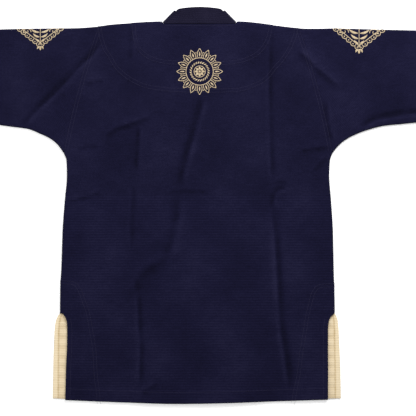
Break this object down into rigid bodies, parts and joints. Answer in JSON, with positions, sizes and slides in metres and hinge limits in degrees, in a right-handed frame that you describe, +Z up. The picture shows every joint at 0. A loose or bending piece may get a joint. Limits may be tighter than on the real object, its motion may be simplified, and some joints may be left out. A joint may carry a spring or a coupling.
{
  "type": "jiu-jitsu gi jacket",
  "caption": "Navy jiu-jitsu gi jacket laid flat face down, with a thick collar band, long sleeves and side slits faced in beige tape.",
  "frame": {"origin": "centre of the jacket's outline on the surface that it lies on", "axes": "+X from the wearer's left sleeve to the right one, +Y from the hem to the collar, +Z up, out of the back"},
  "size_m": [1.6306, 0.8414, 0.0126],
  "materials": {
    "navy_cloth": "matte pearl-weave cotton",
    "collar_cloth": "matte twill cotton in parallel stitched rows",
    "facing_tape": "matte ribbed cotton tape"
  },
  "bodies": {
    "root": {"back_panel": "navy_cloth", "front_left": "navy_cloth", "front_right": "navy_cloth", "sleeve_left": "navy_cloth", "sleeve_right": "navy_cloth", "collar": "collar_cloth", "vent_facing_left": "facing_tape", "vent_facing_right": "facing_tape"}
  },
  "joints": []
}
